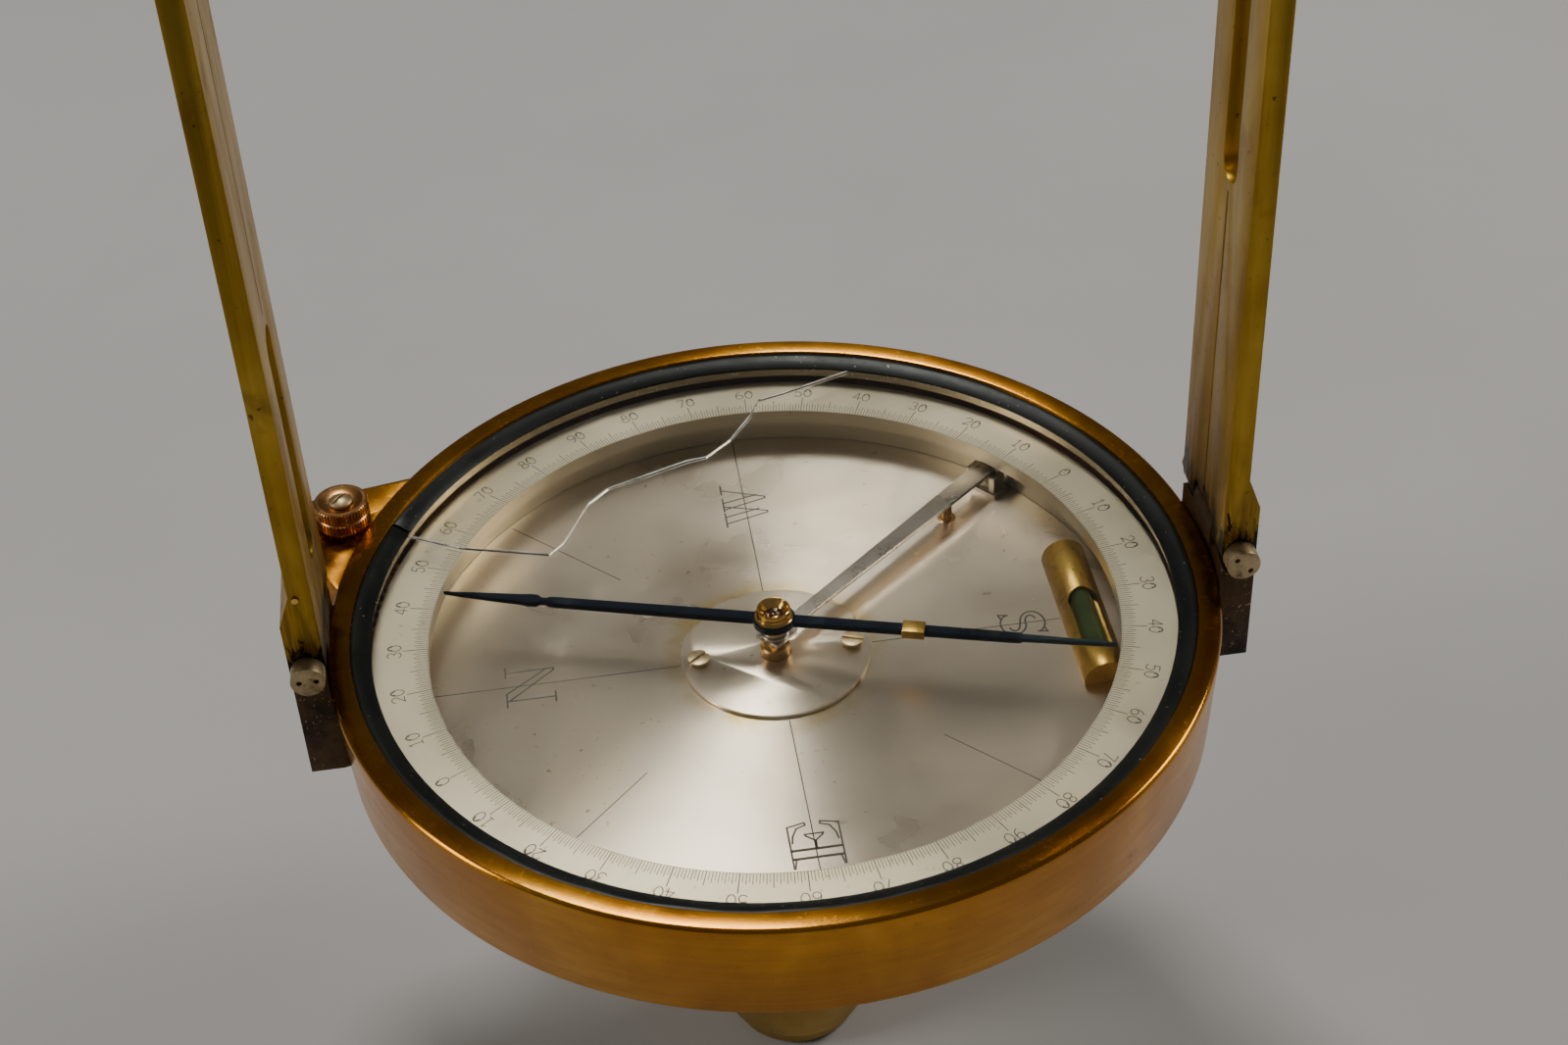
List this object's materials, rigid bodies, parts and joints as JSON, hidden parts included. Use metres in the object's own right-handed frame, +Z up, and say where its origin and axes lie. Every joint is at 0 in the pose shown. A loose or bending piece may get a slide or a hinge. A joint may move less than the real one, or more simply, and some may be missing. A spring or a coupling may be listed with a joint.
{
  "type": "surveying compass",
  "caption": "Brass surveying compass: glazed round box with needle, graduated circle turned by a side knob, spirit level, folding slotted sights and a spindle socket.",
  "frame": {"origin": "centre of the spindle socket mouth, which is the lowest face", "axes": "+Z up along the spindle; X is the line of sight, north sight at -X and south sight at +X; +Y is the side of the card marked W"},
  "size_m": [0.176, 0.163, 0.257],
  "materials": {
    "lacquered_brass": "orange-brown lacquered brass, lathe brushed",
    "blackened_ring": "blackened brass, satin",
    "glass": "clear flat glass",
    "silvered_dial": "silvered brass, radially brushed",
    "silvered_circle": "silvered brass, engraved",
    "brass_fittings": "aged brass",
    "polished_brass": "polished brass",
    "pin_brass": "dull brass",
    "bright_steel": "bright steel",
    "aged_brass": "aged brass",
    "vial_glass": "green spirit in a glass vial",
    "blued_steel": "blued steel",
    "jewel": "agate cap jewel",
    "sight_brass": "yellow-ochre lacquered brass, long grain",
    "dark_bracket": "black-brown lacquered brass, worn",
    "socket_brass": "lacquered brass"
  },
  "bodies": {
    "box": {"box_wall": "lacquered_brass", "base_plate": "lacquered_brass", "retaining_ring": "blackened_ring", "glass_main": "glass", "glass_fragment": "glass", "dial_plate": "silvered_dial", "hub_disc": "silvered_dial", "hub_screws": "brass_fittings", "pivot_post": "brass_fittings", "pivot_pin": "bright_steel", "level_tube": "aged_brass", "level_vial": "vial_glass", "level_end_plugs": "aged_brass", "pinion_housing": "lacquered_brass", "housing_cover": "lacquered_brass", "cover_screws": "brass_fittings", "lever_fulcrum": "brass_fittings", "fulcrum_pin": "bright_steel", "north_bracket": "dark_bracket", "south_bracket": "dark_bracket", "bracket_screws": "brass_fittings", "north_hinge_pin": "pin_brass", "south_hinge_pin": "pin_brass", "hinge_pin_nuts": "pin_brass", "spindle_socket": "socket_brass", "flange_screws": "brass_fittings", "socket_collar": "socket_brass"},
    "declination_circle": {"graduated_circle": "silvered_circle"},
    "declination_pinion": {"pinion": "brass_fittings", "declination_knob": "brass_fittings", "knob_screw": "polished_brass"},
    "lift_collar": {"lifting_collar": "bright_steel"},
    "needle": {"needle_blade": "blued_steel", "needle_hub": "polished_brass", "needle_jewel": "jewel", "needle_counterweight": "aged_brass"},
    "lift_lever": {"lifter_lever": "bright_steel"},
    "lift_screw": {"lifter_screw": "brass_fittings"},
    "sight_north": {"north_sight": "sight_brass", "north_sight_peg": "polished_brass"},
    "sight_south": {"south_sight": "sight_brass"},
    "socket_clamp": {"clamp_screw": "brass_fittings"}
  },
  "joints": [
    {"name": "circle_turn", "type": "hinge", "parent": "box", "child": "declination_circle", "pos_m": [0, 0, 0.102], "axis": [0, 0, 1], "range_deg": [-57, 3]},
    {"name": "knob_turn", "type": "hinge", "parent": "box", "child": "declination_pinion", "pos_m": [-0.07805, 0.03706, 0.112], "axis": [0, 0, 1], "range_deg": [-27, 503]},
    {"name": "lifter_turn", "type": "hinge", "parent": "box", "child": "lift_screw", "pos_m": [0.03887, 0.03379, 0.092], "axis": [0, 0, 1], "range_deg": [0, 180]},
    {"name": "lever_tilt", "type": "hinge", "parent": "box", "child": "lift_lever", "pos_m": [0.0483, 0.04199, 0.10025], "axis": [-0.6561, 0.7547, 0], "range_deg": [0, 0.4175]},
    {"name": "collar_lift", "type": "slide", "parent": "box", "child": "lift_collar", "axis": [0, 0, 1], "range_m": [0, 0.00045]},
    {"name": "needle_turn", "type": "hinge", "parent": "lift_collar", "child": "needle", "pos_m": [0, 0, 0.106], "axis": [0, 0, 1], "continuous": true},
    {"name": "north_sight_fold", "type": "hinge", "parent": "box", "child": "sight_north", "pos_m": [-0.0834, 0, 0.1195], "axis": [0, 1, 0], "range_deg": [0, 90]},
    {"name": "south_sight_fold", "type": "hinge", "parent": "box", "child": "sight_south", "pos_m": [0.0834, 0, 0.1195], "axis": [0, -1, 0], "range_deg": [0, 81]},
    {"name": "clamp_turn", "type": "hinge", "parent": "box", "child": "socket_clamp", "pos_m": [0, 0.015, 0.009], "axis": [0, 1, 0], "range_deg": [-180, 180]}
  ],
  "couplings": [
    {"joint": "knob_turn", "follows": "circle_turn", "ratio": -8.8182},
    {"joint": "lever_tilt", "follows": "collar_lift", "rad_per_m": 16.129},
    {"joint": "lifter_turn", "follows": "collar_lift", "rad_per_m": 6980.3}
  ]
}
